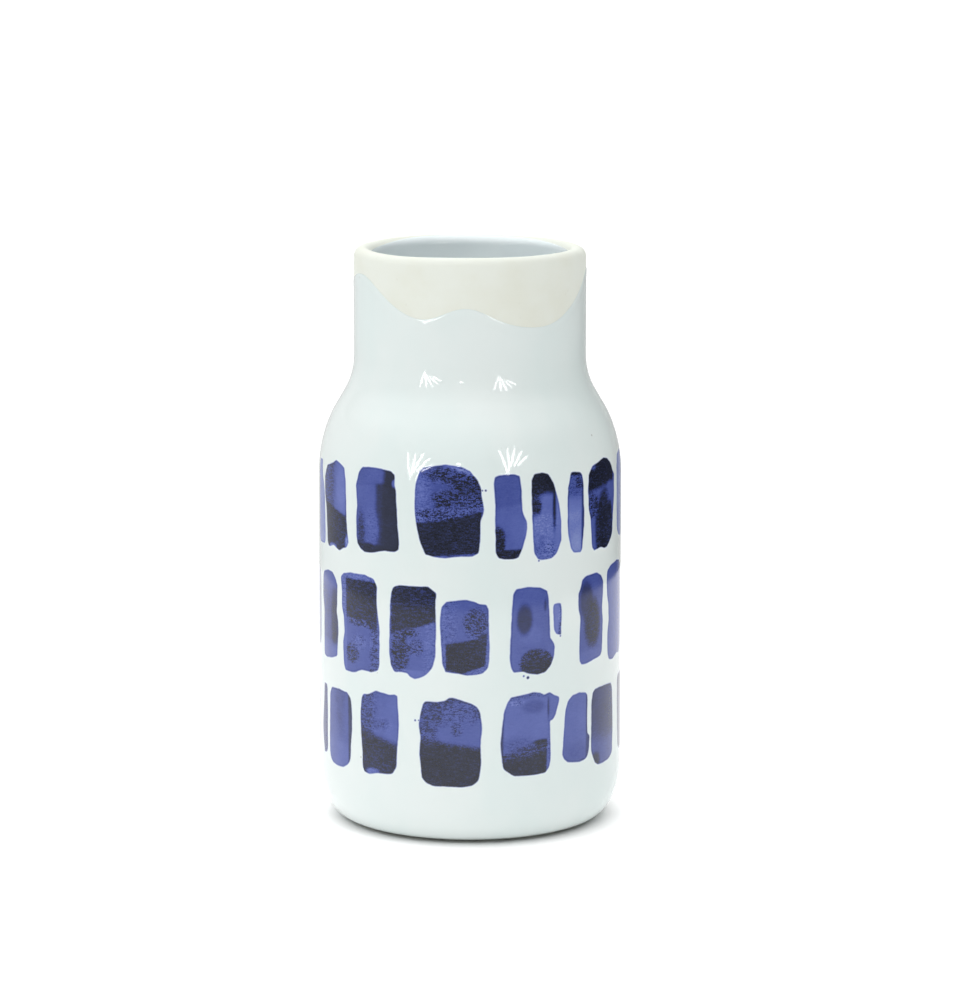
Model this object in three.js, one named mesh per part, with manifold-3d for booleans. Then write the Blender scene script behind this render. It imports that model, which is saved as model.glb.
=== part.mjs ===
// Stoneware vase: a thrown clay body with a rounded base, a straight wall, a soft shoulder and a wide neck,
// a glossy glaze outside that stops in scallops below the bare lip, a glaze lining, and three rings of
// cobalt brush strokes fired onto the outer glaze. Millimetres, +Z up, origin at the centre of the foot.
import * as THREE from 'three';
import { mergeVertices } from 'three/addons/utils/BufferGeometryUtils.js';
import Module from 'manifold-3d';

const wasm = await Module();
wasm.setup();

// ---- driving dimensions -------------------------------------------------------------------------------
const body_radius = 62.0;         // outside of the glaze at the top of the straight wall
const belly_flare = 0.4;          // the wall is this much wider at its foot than at its top
const base_inset = 11.1;          // the flat under the rounded base starts this far inside the wall
const neck_radius = 47.4;         // outside of the glaze on the neck
const foot_height = 1.0;          // the foot ring lifts the rounded base off the table
const base_height = 22.4;         // height of the rounded base
const wall_height = 121.2;        // height of the straight wall
const shoulder_height = 47.9;     // from the wall to the neck, an outward curve and then an inward one
const shoulder_share = 0.65;      // how much of the shoulder the outward curve takes
const neck_height = 44.1;         // from the top of the shoulder to the top of the lip
const clay_wall = 7.4;            // thickness of the clay in the wall and neck
const clay_floor = 8.0;           // thickness of the clay over the foot
const foot_width = 6.0;           // width of the ring that the vase rests on
const foot_recess = 1.6;          // how far the underside is turned away inside the ring
const foot_setback = 1.5;         // the foot ring stands this far inside the edge of the flat base
const glaze_thickness = 0.3;      // outer glaze and lining
const fuse_gap = 0.05;            // clearance between fused layers
const stroke_thickness = 0.15;    // body of a fired brush stroke
const bare_foot = 1.2;            // the outer glaze stops this far above the flat under the base
const sides = 40;                 // facets around every turned piece

// ---- colours ------------------------------------------------------------------------------------------
const clay_colour = '#e4e3d8';
const glaze_colour = '#dfe9e6';
const lining_colour = '#c4cdcd';
const stroke_colour = '#434c8e';

// ---- sizes that follow from the ones above ------------------------------------------------------------
const belly_radius = body_radius + belly_flare;
const base_radius = body_radius - base_inset;
const foot_radius = base_radius - foot_setback;
const wall_foot = foot_height + base_height;
const wall_top = wall_foot + wall_height;
const neck_foot = wall_top + shoulder_height;
const rim_top = neck_foot + neck_height;
const skin = glaze_thickness + fuse_gap;
const lip_radius = (clay_wall - skin) / 2;
const lip_middle = neck_radius - skin - lip_radius;
const lip_height = rim_top - lip_radius;
const lip_steps = 8;

// Depth of the outer glaze's edge below the rim, by angle from the front, right positive. Bare clay shows
// above it in hanging scallops, and a smooth closed curve runs through these points.
const glaze_edge = [
  [-87, 12.9], [-64, 9.3], [-45, 17.6], [-25, 24.7], [-2.5, 19.8], [17, 25.4], [33, 28.4], [54, 24.1],
  [72, 14.2], [88, 8.2], [110, 15.6], [135, 24.6], [160, 20.1], [186, 27.1], [210, 22.6], [235, 14.4],
  [254, 19.0],
];

// ---- the brush strokes --------------------------------------------------------------------------------
// Each row's strokes are drawn about a middle line. A stroke has its angle from the front and an outline in
// millimetres, measured on a body and wall of the sizes here, and keeps its place if the vase changes size.
const drawn_radius = 62.0;
const drawn_wall = 121.2;
const stroke_rows = {
  top: {
    middle: 112.6,
    strokes: [
      { at: -75.8, outline: [[-6, 15], [0, 15.3], [1.5, 9], [4, 3], [5.5, -17], [4, -19], [-4, -19.5], [-6, -17]] },
      { at: -61.9, outline: [[-10.5, 9], [-8, 14], [-2, 16], [0.5, 17.3], [5, 16], [7.5, 15], [9, 10],
        [9.5, -8], [10.8, -15], [9.5, -17.5], [7, -18], [4, -19.5], [-1, -18], [-5, -19.3], [-7.3, -18],
        [-7.8, -11], [-8.8, -3], [-10.5, 2]] },
      { at: -37.4, outline: [[-11, 9], [-9.5, 14.5], [-7.5, 17], [0.5, 17.3], [7, 16.6], [9.3, 15],
        [9, 11.5], [9.8, 9], [10.5, -4], [11.3, -12], [11, -15], [9, -16.2], [4.5, -16], [-2, -17.5],
        [-6, -17.7], [-8.5, -16.5], [-10.5, -14], [-11, -6], [-10.3, 2]] },
      { at: -8.3, outline: [[-13.7, 3], [-13.3, 12], [-11.5, 17.5], [-10, 19], [-1, 20.5], [5, 19.8],
        [9, 18], [12, 14.5], [13.5, 11], [13.8, 7], [14.7, 3], [14.2, 0], [13.2, -2], [13.2, -10],
        [12.5, -15], [10, -16.5], [4, -16.5], [-1, -17.3], [-5, -17], [-9, -16], [-11.5, -11], [-13, -4]] },
      { at: 15.2, outline: [[-7, 13], [-6.5, 15.5], [-4.5, 16.3], [1.5, 16.5], [3.8, 15.5], [4.5, 11],
        [4.8, 2], [5.5, 0], [7, -3.5], [6.7, -8], [5, -13.5], [3.3, -17.3], [1.5, -18], [-2.5, -18],
        [-5, -17.3], [-6.3, -15], [-6.5, -6], [-6.5, 4]] },
      { at: 29.6, outline: [[-7, 10], [-6.7, 14], [-5.5, 16], [-2, 16.3], [1, 15.5], [3, 12], [4.5, 8],
        [6, 3], [7, -4], [7, -12], [5, -17], [2, -19], [-2, -19.2], [-4, -18.8], [-5.8, -16], [-6.3, -9],
        [-6.7, 0]] },
      { at: 43.2, outline: [[-4.7, -1], [-4.4, 9], [-3, 14], [-2.2, 15.3], [2.8, 14.6], [4, 13], [4.5, 8],
        [4.5, 2], [5.1, -3], [4.5, -10], [3.6, -17], [2.8, -18.2], [-1.2, -18], [-3, -15.5], [-4.4, -10]] },
      { at: 60.1, outline: [[-11.2, 7], [-10.5, 13], [-8, 16], [-2, 17.3], [1.5, 18.3], [5, 17.5], [8, 15],
        [9.5, 12], [11.3, 10], [11.2, 0], [10, -6], [9.2, -14], [6, -17], [3.5, -18.7], [1, -19],
        [-1.5, -18], [-7, -18.7], [-8.5, -17], [-9, -12], [-9.5, -5], [-10.8, -1], [-11, 4]] },
      { at: 82.2, outline: [[-9, 12], [-6, 17], [0, 18.5], [6, 17.5], [9, 13], [9, -12], [6, -17],
        [0, -17.5], [-5, -16.5], [-8.5, -13]] },
      { at: 104, like: ['middle', 1] },
      { at: 126, like: ['top', 2], flipped: true },
      { at: 148, like: ['lower', 7] },
      { at: 168, like: ['top', 4], flipped: true },
      { at: 189, like: ['middle', 7] },
      { at: 212, like: ['top', 7], flipped: true },
      { at: 233, like: ['top', 5] },
      { at: 256, like: ['top', 8], flipped: true },
    ],
  },
  middle: {
    middle: 65.6,
    strokes: [
      { at: -83.2, outline: [[-5, 14], [0, 17], [5, 15], [5.5, -10], [4.5, -15], [-3, -16], [-6, -12]] },
      { at: -67.5, outline: [[-8, 13], [-6.5, 16.5], [-1, 18], [4, 18], [7, 15.5], [8.5, 13], [8.2, 6],
        [7.8, 2], [9, -2], [9.2, -6], [8.5, -12], [8.2, -16.5], [3, -18], [-3, -18.8], [-6, -18],
        [-6.3, -9], [-6, 1], [-8, 6]] },
      { at: -46.2, outline: [[-12, 17], [-10, 19], [-5, 20], [4, 20.2], [8.5, 19], [10.3, 16], [10, 9],
        [10.8, 3], [11.5, -1], [11.5, -15], [10.7, -18.5], [7, -19.5], [2, -19.2], [-1, -20.5],
        [-4, -21.2], [-8.5, -21], [-10, -18.5], [-10.3, -9], [-9.3, -5], [-9.8, 1], [-11.2, 5],
        [-11.2, 11]] },
      { at: -21.7, outline: [[-10.3, 6], [-9.8, 14], [-8.5, 17], [-6, 17.8], [3.5, 18], [6.5, 18.2],
        [8.5, 16.8], [10.2, 15.5], [9.7, 11], [10, 2], [9.7, -10], [8.5, -15], [6, -18], [3.5, -19.3],
        [1, -20.1], [-1, -19.3], [-2.5, -17.8], [-5.5, -17.7], [-8, -18], [-9.7, -15.5], [-10.7, -10],
        [-10.4, -1]] },
      { at: -2.1, outline: [[-10, 5], [-9.2, 10], [-7.2, 12.3], [0.3, 13.3], [3.8, 12.5], [5.8, 11.5],
        [8.8, 11.3], [9.9, 9], [10, -2], [10.3, -5], [10.1, -12], [9.5, -15], [7.3, -17], [3.3, -17.6],
        [0.3, -17.7], [-2.7, -17], [-7.7, -16.5], [-9, -13], [-9.5, -4]] },
      { at: 23.6, outline: [[-8.5, 12], [-8.2, 15], [-7, 17], [-1.5, 17.7], [3.5, 17], [6.8, 15.3],
        [7.5, 12], [8, 3], [8.2, -4], [9.8, -6], [10.5, -8], [10, -12], [8.5, -15.5], [6, -18],
        [2.5, -18.7], [-1.5, -18], [-4, -17], [-8, -17.2], [-9, -15.5], [-9.7, -11], [-9.2, 1]] },
      { at: 34.5, outline: [[-2.4, 8], [-2, 9.7], [1.4, 9.7], [2, 7], [1.9, 3], [1.7, -3.7], [-0.8, -3],
        [-2.1, -1]] },
      { at: 52.7, outline: [[-9, 12], [-7.5, 14.5], [-6.7, 17.5], [-4, 19], [3, 19.2], [6.5, 17.5],
        [8.3, 15], [8.2, 11], [7.3, 4], [8, -1], [7.8, -6], [7.3, -14], [6, -15.7], [0, -16.8],
        [-4, -17.5], [-7, -17.5], [-8.3, -15.5], [-8.3, -5], [-7.7, 2], [-9, 6]] },
      { at: 72.1, outline: [[-9.7, 14], [-9.2, 18.5], [-5, 20.3], [2, 21], [8, 20], [10, 17], [10.5, 0],
        [10, -15], [7, -18.5], [2, -18], [-3, -19.5], [-7.5, -19], [-8.8, -16], [-9, -8], [-7.8, -2],
        [-8, 4], [-9.5, 9]] },
      { at: 94, like: ['middle', 1], flipped: true },
      { at: 115, like: ['top', 8] },
      { at: 137, like: ['middle', 5], flipped: true },
      { at: 158, like: ['lower', 2] },
      { at: 178, like: ['top', 4] },
      { at: 197, like: ['middle', 8], flipped: true },
      { at: 219, like: ['middle', 3] },
      { at: 238, like: ['top', 6], flipped: true },
      { at: 258, like: ['lower', 7], flipped: true },
    ],
  },
  lower: {
    middle: 20.6,
    strokes: [
      { at: -87.8, outline: [[-6, 12], [0, 15], [6, 14], [6.5, -10], [5, -14], [-3, -14.5], [-6, -12]] },
      { at: -71.6, outline: [[-1.5, 15], [2.5, 15], [2.8, 6], [2.7, -1], [2.9, -12], [1.5, -13.7],
        [-1.5, -14.2], [-2.5, -11], [-4, -6], [-4, -1], [-2.5, 6]] },
      { at: -58.2, outline: [[-9, 12], [-7, 15], [-1, 15.5], [5.5, 15], [8.2, 13], [8.8, 6], [9, 0],
        [8.2, -6], [7.8, -13], [6, -15], [3, -16.7], [-2, -17], [-6, -16.5], [-8.5, -15], [-9.5, -11],
        [-9.3, 1]] },
      { at: -36.0, outline: [[-10.2, 7], [-9.6, 14], [-8.5, 16.2], [-6, 16.3], [-3.5, 17.5], [-1.5, 18.5],
        [2, 18], [5, 17.5], [7.5, 18], [9, 17.5], [9.2, 12], [9.7, 6], [9.2, 0], [8.8, -6], [8.6, -12],
        [6.5, -15], [3, -15.5], [-1, -15.7], [-5, -16.7], [-8, -16], [-9, -14], [-9, -8], [-9.8, 0]] },
      { at: -7.4, outline: [[-13, 7], [-12.3, 11], [-11.3, 15], [-10, 16.5], [-5, 16.3], [-2, 17],
        [0, 18.4], [2, 18.3], [6, 16.8], [8.5, 16], [11, 14.5], [12.2, 12.5], [12.8, 8], [13, 4],
        [12.4, 0], [12.6, -10], [11.5, -16], [9, -17.8], [4, -18.7], [-2, -18.4], [-7, -18.5],
        [-10, -17.2], [-11.8, -15], [-12.3, -9], [-12.8, -5], [-12.3, 1]] },
      { at: 21.7, outline: [[-11.5, -2], [-10.7, 6], [-10, 12], [-8.5, 16], [-7, 18], [-3.5, 18.5],
        [2.5, 19.5], [5.5, 19], [7.5, 18], [10, 18.7], [12, 17.5], [15, 16.3], [14.5, 13.5], [13, 9],
        [11.5, 7], [10.2, 7], [10.4, 0], [10.8, -8], [10, -12], [8, -14.5], [1.5, -14.8], [-5.5, -14.6],
        [-7.5, -13.5], [-10.2, -11.5], [-10.8, -8]] },
      { at: 43.7, outline: [[-7.8, -8], [-7, 1], [-6.3, 10], [-4.8, 14], [-2.3, 16], [1.7, 16.5],
        [5.7, 15.8], [6.9, 14], [6.5, 6], [6.7, -1], [8.2, -2.5], [7.7, -8], [6.7, -11], [4.7, -12.2],
        [1.7, -12.5], [-4.8, -11.7], [-6.8, -10]] },
      { at: 60.5, outline: [[-9.2, 10], [-8.3, 15], [-6.5, 16.3], [0.5, 16.5], [7.5, 16.2], [9, 14],
        [9.5, 6], [10, -2], [9.5, -8], [9.2, -13], [7.5, -14.5], [4.5, -15.5], [-0.5, -16],
        [-4.5, -15.8], [-6.5, -14.7], [-8, -12], [-9.5, -9], [-9.2, 1]] },
      { at: 81.4, outline: [[-6.5, 15], [-5, 17.5], [0, 18], [6, 17], [7, 13], [7, -10], [5, -14],
        [-2, -14.5], [-5, -12], [-6, -3]] },
      { at: 101, like: ['top', 4] },
      { at: 122, like: ['lower', 3], flipped: true },
      { at: 145, like: ['top', 1], flipped: true },
      { at: 166, like: ['lower', 6] },
      { at: 187, like: ['lower', 2], flipped: true },
      { at: 210, like: ['middle', 3], flipped: true },
      { at: 231, like: ['top', 8] },
      { at: 252, like: ['lower', 8], flipped: true },
    ],
  },
};

// ---- curves -------------------------------------------------------------------------------------------
const { degToRad, radToDeg } = THREE.MathUtils;
const point = (r, z) => new THREE.Vector2(r, z);

// A run of an ellipse about (r, z), from one angle to another, as profile points.
function arc(r, z, size_r, size_z, from, to, steps) {
  return Array.from({ length: steps + 1 }, (_, i) => {
    const t = degToRad(from + ((to - from) * i) / steps);
    return point(r + size_r * Math.cos(t), z + size_z * Math.sin(t));
  });
}

// The shoulder is two arcs that meet on a common tangent. A depth moves them into the wall.
function shoulder(depth) {
  const turn = 2 * Math.atan((body_radius - neck_radius) / shoulder_height);
  const both = shoulder_height / Math.sin(turn);
  const outward = both * shoulder_share;
  const inward = both - outward;
  const turn_deg = radToDeg(turn);
  return [
    ...arc(body_radius - outward, wall_top, outward - depth, outward - depth, 0, turn_deg, 4),
    ...arc(neck_radius + inward, neck_foot, inward + depth, inward + depth, 180 + turn_deg, 180, 3).slice(1),
  ];
}

// The rounded base, from the edge of the glaze above the foot up to the wall, at a depth below its surface.
function base_curve(depth) {
  const from = -radToDeg(Math.acos(bare_foot / base_height));
  return arc(base_radius, wall_foot, belly_radius - base_radius - depth, base_height - depth, from, 0, 5);
}

// The hollow from its floor to the top of the shoulder, with `lining` of glaze left on the clay.
function hollow(lining) {
  const floor = foot_height + clay_floor + lining;
  const wall = body_radius - clay_wall - lining;
  const rounding = wall_foot - floor;
  return [...arc(wall - rounding, wall_foot, rounding, rounding, -90, 0, 4), ...shoulder(clay_wall + lining)];
}

// Depth of the glaze's edge at an angle: a smooth curve through the points of glaze_edge, all the way round.
function edge_depth(angle) {
  const count = glaze_edge.length;
  const node = (i) => {
    const turns = Math.floor(i / count);
    const [at, depth] = glaze_edge[i - turns * count];
    return [at + 360 * turns, depth];
  };
  let i = 0;
  while (node(i + 1)[0] <= angle) i += 1;
  const [before, start, end, after] = [node(i - 1), node(i), node(i + 1), node(i + 2)];
  const span = end[0] - start[0];
  const t = (angle - start[0]) / span;
  const slope_start = (span * (end[1] - before[1])) / (end[0] - before[0]);
  const slope_end = (span * (after[1] - start[1])) / (after[0] - start[0]);
  const rise = end[1] - start[1];
  return start[1] + slope_start * t + (3 * rise - 2 * slope_start - slope_end) * t * t
    + (slope_start + slope_end - 2 * rise) * t * t * t;
}

// ---- solids -------------------------------------------------------------------------------------------
// A solid turned about Z from a profile, whose angle 0 is the front, at -Y.
function turned(profile) {
  const geometry = new THREE.LatheGeometry(profile, sides);
  geometry.rotateX(Math.PI / 2);
  return geometry;
}

function solid(geometry) {
  const bare = geometry.clone();
  bare.deleteAttribute('normal');
  bare.deleteAttribute('uv');
  const merged = mergeVertices(bare, 1e-4);
  return new wasm.Manifold(new wasm.Mesh({
    numProp: 3,
    vertProperties: new Float32Array(merged.attributes.position.array),
    triVerts: new Uint32Array(merged.index.array),
  }));
}

function geometry_of(manifold) {
  const mesh = manifold.getMesh();
  const geometry = new THREE.BufferGeometry();
  geometry.setAttribute('position', new THREE.BufferAttribute(new Float32Array(mesh.vertProperties), 3));
  geometry.setIndex(new THREE.BufferAttribute(new Uint32Array(mesh.triVerts), 1));
  geometry.computeVertexNormals();
  return geometry;
}

// ---- the pieces ---------------------------------------------------------------------------------------
// Clay: foot ring, rounded base, wall, shoulder, neck and lip, then the hollow back down to the axis.
function clay_body() {
  return turned([
    point(0, foot_recess),
    point(foot_radius - foot_width - foot_recess, foot_recess),
    point(foot_radius - foot_width, 0),
    point(foot_radius, 0),
    point(foot_radius, foot_height + skin),
    point(base_radius, foot_height + skin),
    ...base_curve(skin),
    ...shoulder(skin),
    ...arc(lip_middle, lip_height, lip_radius, lip_radius, 0, 180, lip_steps),
    ...hollow(0).reverse(),
    point(0, foot_height + clay_floor),
  ]);
}

// Outer glaze: a skin over the base, wall and shoulder whose top edge follows the scallops on the neck.
function outer_glaze() {
  const outer = [...base_curve(0), ...shoulder(0), point(neck_radius, rim_top)];
  const inner = [
    ...base_curve(glaze_thickness),
    ...shoulder(glaze_thickness),
    point(neck_radius - glaze_thickness, rim_top),
  ];
  const geometry = turned([...outer, ...inner.reverse(), outer[0]]);
  const position = geometry.attributes.position;
  const above_shoulder = neck_foot + 1;
  for (let i = 0; i < position.count; i++) {
    if (position.getZ(i) < above_shoulder) continue;
    const from_front = radToDeg(Math.atan2(position.getX(i), -position.getY(i)));
    const first = glaze_edge[0][0];
    const angle = first + ((((from_front - first) % 360) + 360) % 360);
    position.setZ(i, rim_top - edge_depth(angle));
  }
  return geometry;
}

// Lining: glaze over the floor, wall and neck inside, turned over the inner side of the lip.
function inner_glaze() {
  const over_lip = (depth) => {
    const size = lip_radius + depth;
    return arc(lip_middle, lip_height, size, size, 180, 135, lip_steps / 4);
  };
  return turned([
    point(0, foot_height + clay_floor + fuse_gap),
    ...hollow(fuse_gap),
    ...over_lip(fuse_gap),
    ...over_lip(skin).reverse(),
    ...hollow(skin).reverse(),
    point(0, foot_height + clay_floor + skin),
  ]);
}

// The thin layer over the outer glaze that every stroke is cut from.
function stroke_layer() {
  const surface = (depth) => [point(belly_radius - depth, wall_foot), ...shoulder(depth)];
  const outer = surface(-fuse_gap - stroke_thickness);
  const inner = surface(-fuse_gap);
  return solid(turned([...outer, ...inner.reverse(), outer[0]]));
}

// A column with the stroke's outline, pushed out through the wall at the stroke's angle and height.
function stroke_column(at, height, outline) {
  const across = body_radius / drawn_radius;
  const along = wall_height / drawn_wall;
  const shape = new THREE.Shape(outline.map(([x, z]) =>
    point(body_radius * Math.sin((x * across) / body_radius), z * along)));
  const reach = body_radius / 3;
  const geometry = new THREE.ExtrudeGeometry(shape, { depth: reach, bevelEnabled: false });
  geometry.translate(0, 0, body_radius - reach / 2);
  geometry.rotateX(Math.PI / 2);
  geometry.rotateZ(degToRad(at));
  geometry.translate(0, 0, height);
  return solid(geometry);
}

function outline_of(stroke) {
  if (!stroke.like) return stroke.outline;
  const [row, index] = stroke.like;
  const { outline } = stroke_rows[row].strokes[index];
  return stroke.flipped ? outline.map(([x, z]) => [-x, z]).reverse() : outline;
}

// ---- assembly -----------------------------------------------------------------------------------------
const vase = new THREE.Group();

function add(name, geometry, color, roughness) {
  const mesh = new THREE.Mesh(geometry, new THREE.MeshStandardMaterial({ color, roughness, metalness: 0 }));
  mesh.name = name;
  vase.add(mesh);
}

add('clay_body', clay_body(), clay_colour, 0.85);
add('outer_glaze', outer_glaze(), glaze_colour, 0.12);
add('inner_glaze', inner_glaze(), lining_colour, 0.15);

const layer = stroke_layer();
for (const [row, { middle, strokes }] of Object.entries(stroke_rows)) {
  const height = wall_foot + (middle * wall_height) / drawn_wall;
  strokes.forEach((stroke, index) => {
    const column = stroke_column(stroke.at, height, outline_of(stroke));
    const number = String(index + 1).padStart(2, '0');
    add(`${row}_stroke_${number}`, geometry_of(layer.intersect(column)), stroke_colour, 0.12);
  });
}

export default vase;
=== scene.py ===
"""A stoneware vase with bare clay at the lip, a scalloped white glaze, a lining painted lighter to offset the
shade in the mouth and three rings of cobalt brush strokes, standing on a pale floor in soft studio light.
Metres, +Z up, front towards -Y."""
import math

import bpy
import numpy as np
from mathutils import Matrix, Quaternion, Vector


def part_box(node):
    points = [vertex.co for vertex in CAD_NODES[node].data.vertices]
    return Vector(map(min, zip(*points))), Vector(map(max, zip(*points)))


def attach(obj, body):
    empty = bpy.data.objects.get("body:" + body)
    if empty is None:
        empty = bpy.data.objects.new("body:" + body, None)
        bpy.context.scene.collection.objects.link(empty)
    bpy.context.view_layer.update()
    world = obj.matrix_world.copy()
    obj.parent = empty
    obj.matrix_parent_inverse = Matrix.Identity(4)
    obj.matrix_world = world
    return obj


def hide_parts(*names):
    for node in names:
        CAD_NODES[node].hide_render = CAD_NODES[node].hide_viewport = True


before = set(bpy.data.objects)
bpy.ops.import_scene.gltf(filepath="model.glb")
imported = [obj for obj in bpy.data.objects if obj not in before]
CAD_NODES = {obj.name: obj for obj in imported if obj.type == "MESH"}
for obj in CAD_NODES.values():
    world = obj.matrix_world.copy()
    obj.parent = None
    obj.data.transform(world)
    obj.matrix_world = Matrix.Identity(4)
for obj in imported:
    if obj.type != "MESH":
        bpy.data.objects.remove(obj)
bpy.context.view_layer.update()

MM = 0.001
ROOT = "root"

# ---- sizes of the finish, on top of the frame's own sizes ----------------------------------------
TURN_STEPS = 320              # facets round a turned piece
GLAZE_SKIN = 0.12 * MM        # thickness of the modelled glaze skins
FUSED = 0.03 * MM             # clearance between fused layers
GLAZE_BEAD = 0.10 * MM        # the glaze swells this much just inside its edge
BEAD_LENGTH = 1.6 * MM
CLAY_WALL = 7.4 * MM
CLAY_FLOOR = 8.0 * MM
FOOT_WIDTH = 6.0 * MM
FOOT_RECESS = 1.6 * MM
FOOT_EASE = 0.5 * MM          # rounding of the foot ring's edges
LINING_REACH = 104.0          # the lining ends this far round the lip at the front and back, in degrees
SIDE_REACH = 158.0            # and this far at the sides, where it was wiped lower
STROKE_GRID = 0.5             # spacing of a stroke's mesh, mm
STROKE_LIFT = 0.03            # height of a stroke's colour over the glaze, mm
STROKE_BODY = 0.09 * MM
STROKE_MARGIN = 0.7           # clear flux left round a stroke's colour, mm
SPLASH_GRID = 0.25            # spacing of a droplet's mesh, mm
FINE_GRAIN = 0.06             # dry-brush grain where the table gives none


# ---- small tools ---------------------------------------------------------------------------------
def deselect():
    if bpy.context.object and bpy.context.object.mode != "OBJECT":
        bpy.ops.object.mode_set(mode="OBJECT")
    bpy.ops.object.select_all(action="DESELECT")


def linear(red, green, blue):
    """A colour as it looks on a screen, 0 to 255, in the linear values that a material wants."""
    def channel(value):
        value /= 255
        return value / 12.92 if value <= 0.04045 else ((value + 0.055) / 1.055) ** 2.4
    return (channel(red), channel(green), channel(blue), 1.0)


def places(piece):
    co = np.empty(len(piece.data.vertices) * 3)
    piece.data.vertices.foreach_get("co", co)
    return co.reshape(-1, 3)


def move_to(piece, co):
    piece.data.vertices.foreach_set("co", np.ascontiguousarray(co, float).ravel())
    piece.data.update()


def smooth_step(low, high, value):
    t = np.clip((value - low) / (high - low), 0, 1)
    return t * t * (3 - 2 * t)


# ---- the turned shape, read from the frame -------------------------------------------------------
def cad_points(node):
    return np.unique(np.round(places(CAD_NODES[node]), 7), axis=0)


def outer_outline():
    """Radius and height of the CAD glaze's outer skin along its front facet edge, from the foot up."""
    co = cad_points("outer_glaze")
    front = co[(np.abs(co[:, 0]) < 1e-6) & (co[:, 1] < 0)]
    points = np.stack([-front[:, 1], front[:, 2]], 1)
    keep = []
    for p in points:
        inside = np.array([0.03, np.clip(p[1], 0.03, 0.2)])
        gaps = points - p
        close = (np.hypot(*gaps.T) < 0.6 * MM) & (gaps @ (p - inside) > 1e-9)
        if not close.any():
            keep.append(p)
    keep = np.array(keep)
    return keep[np.argsort(keep[:, 1])]


def flowing(points, spacing):
    """A smooth curve through profile points. Round stretches stay round, long straight runs stay straight."""
    steps = np.diff(points, axis=0)
    length = np.hypot(*steps.T)
    way = steps / length[:, None]
    tangent = np.empty_like(points)
    tangent[1:-1] = way[:-1] * length[1:, None] + way[1:] * length[:-1, None]
    tangent[0] = way[0]
    tangent[-1] = way[-1]
    tangent /= np.hypot(*tangent.T)[:, None]
    tangent[0] = 2 * (way[0] @ tangent[1]) * way[0] - tangent[1]
    for i in np.nonzero(length > 3 * np.median(length))[0]:
        tangent[i] = tangent[i + 1] = way[i]
    curve = []
    for i, run in enumerate(length):
        t = np.linspace(0, 1, max(2, math.ceil(run / spacing)), endpoint=False)[:, None]
        curve.append(points[i] * (2 * t**3 - 3 * t**2 + 1) + points[i + 1] * (3 * t**2 - 2 * t**3)
                     + run * tangent[i] * (t**3 - 2 * t**2 + t) + run * tangent[i + 1] * (t**3 - t**2))
    curve.append(points[-1:])
    return np.vstack(curve)


def inset(curve, depth):
    """The same curve moved towards the axis side by a depth."""
    way = np.gradient(curve, axis=0)
    way /= np.hypot(*way.T)[:, None]
    return curve + depth * np.stack([-way[:, 1], way[:, 0]], 1)


def arc(r, z, size, start, end, steps):
    t = np.radians(np.linspace(start, end, steps + 1))
    return np.stack([r + size * np.cos(t), z + size * np.sin(t)], 1)


OUTLINE = outer_outline()
NECK_RADIUS = OUTLINE[-1, 0]
NECK_FOOT = OUTLINE[-2, 1]
RIM_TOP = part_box("clay_body")[1].z
SKIN_CURVE = flowing(OUTLINE, 1.6 * MM)
BODY_CURVE = SKIN_CURVE[SKIN_CURVE[:, 1] <= NECK_FOOT + 1e-6]
WALL_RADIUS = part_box("outer_glaze")[1].x
FOOT_HEIGHT = OUTLINE[0, 1]


def surface_radius(z):
    return np.interp(z, SKIN_CURVE[:, 1], SKIN_CURVE[:, 0])


def edge_height(angle):
    """Height of the glaze's scalloped edge at an angle from the front, smooth all the way round."""
    co = cad_points("outer_glaze")
    ring = co[(np.hypot(co[:, 0], co[:, 1]) > NECK_RADIUS - 0.1 * MM) & (co[:, 2] > NECK_FOOT + 2 * MM)]
    at = np.arctan2(ring[:, 0], -ring[:, 1])
    order = np.argsort(at)
    at, z = at[order], ring[order, 2]
    waves = np.arange(0, 13)
    basis = np.hstack([np.cos(np.outer(at, waves)), np.sin(np.outer(at, waves[1:]))])
    shares = np.linalg.lstsq(basis, z, rcond=None)[0]
    here = np.hstack([np.cos(np.outer(angle, waves)), np.sin(np.outer(angle, waves[1:]))])
    return here @ shares


# ---- turning -------------------------------------------------------------------------------------
def turn(name, profile):
    """Spins a closed ring of (radius, height) points into a solid of revolution."""
    deselect()
    bpy.ops.mesh.primitive_circle_add(vertices=len(profile), radius=1 * MM, fill_type="NOTHING")
    piece = bpy.context.object
    piece.name = piece.data.name = name
    move_to(piece, np.stack([profile[:, 0], np.zeros(len(profile)), profile[:, 1]], 1))
    bpy.ops.object.mode_set(mode="EDIT")
    bpy.ops.mesh.select_mode(type="VERT")
    bpy.ops.mesh.select_all(action="SELECT")
    bpy.ops.mesh.spin(steps=TURN_STEPS, angle=2 * math.pi, center=(0, 0, 0), axis=(0, 0, 1))
    bpy.ops.mesh.select_all(action="SELECT")
    bpy.ops.mesh.remove_doubles(threshold=0.002 * MM)
    bpy.ops.mesh.normals_make_consistent(inside=False)
    bpy.ops.object.mode_set(mode="OBJECT")
    bpy.ops.object.shade_smooth()
    return piece


def angle_from_front(co):
    return np.arctan2(co[:, 0], -co[:, 1])


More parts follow.
